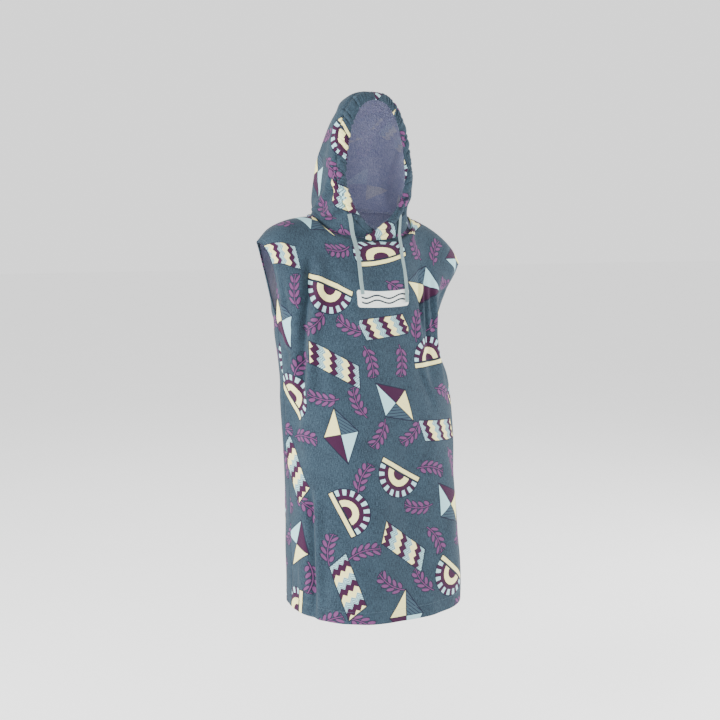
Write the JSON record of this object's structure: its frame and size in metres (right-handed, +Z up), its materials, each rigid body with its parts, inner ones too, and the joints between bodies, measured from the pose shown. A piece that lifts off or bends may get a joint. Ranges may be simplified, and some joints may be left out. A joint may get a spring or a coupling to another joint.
{
  "type": "hooded bath poncho",
  "caption": "Hooded bath poncho in terry towelling, hollow as worn, with a gathered drawcord channel round the face opening.",
  "frame": {"origin": "middle of the base of the neck between the shoulder seams, where the wearer's shoulders hold the cloth up", "axes": "+Z up, the front of the poncho faces -Y, the wearer's left side is at +X"},
  "size_m": [0.5852, 0.3826, 1.3412],
  "materials": {
    "towelling": "printed velour face, looped terry inside",
    "drawcord": "flat cotton braid"
  },
  "bodies": {
    "root": {"front_panel": "towelling", "back_panel": "towelling", "hood_right": "towelling", "hood_left": "towelling", "hood_channel_right": "towelling", "hood_channel_left": "towelling", "drawcord_right": "drawcord", "drawcord_left": "drawcord"}
  },
  "joints": []
}
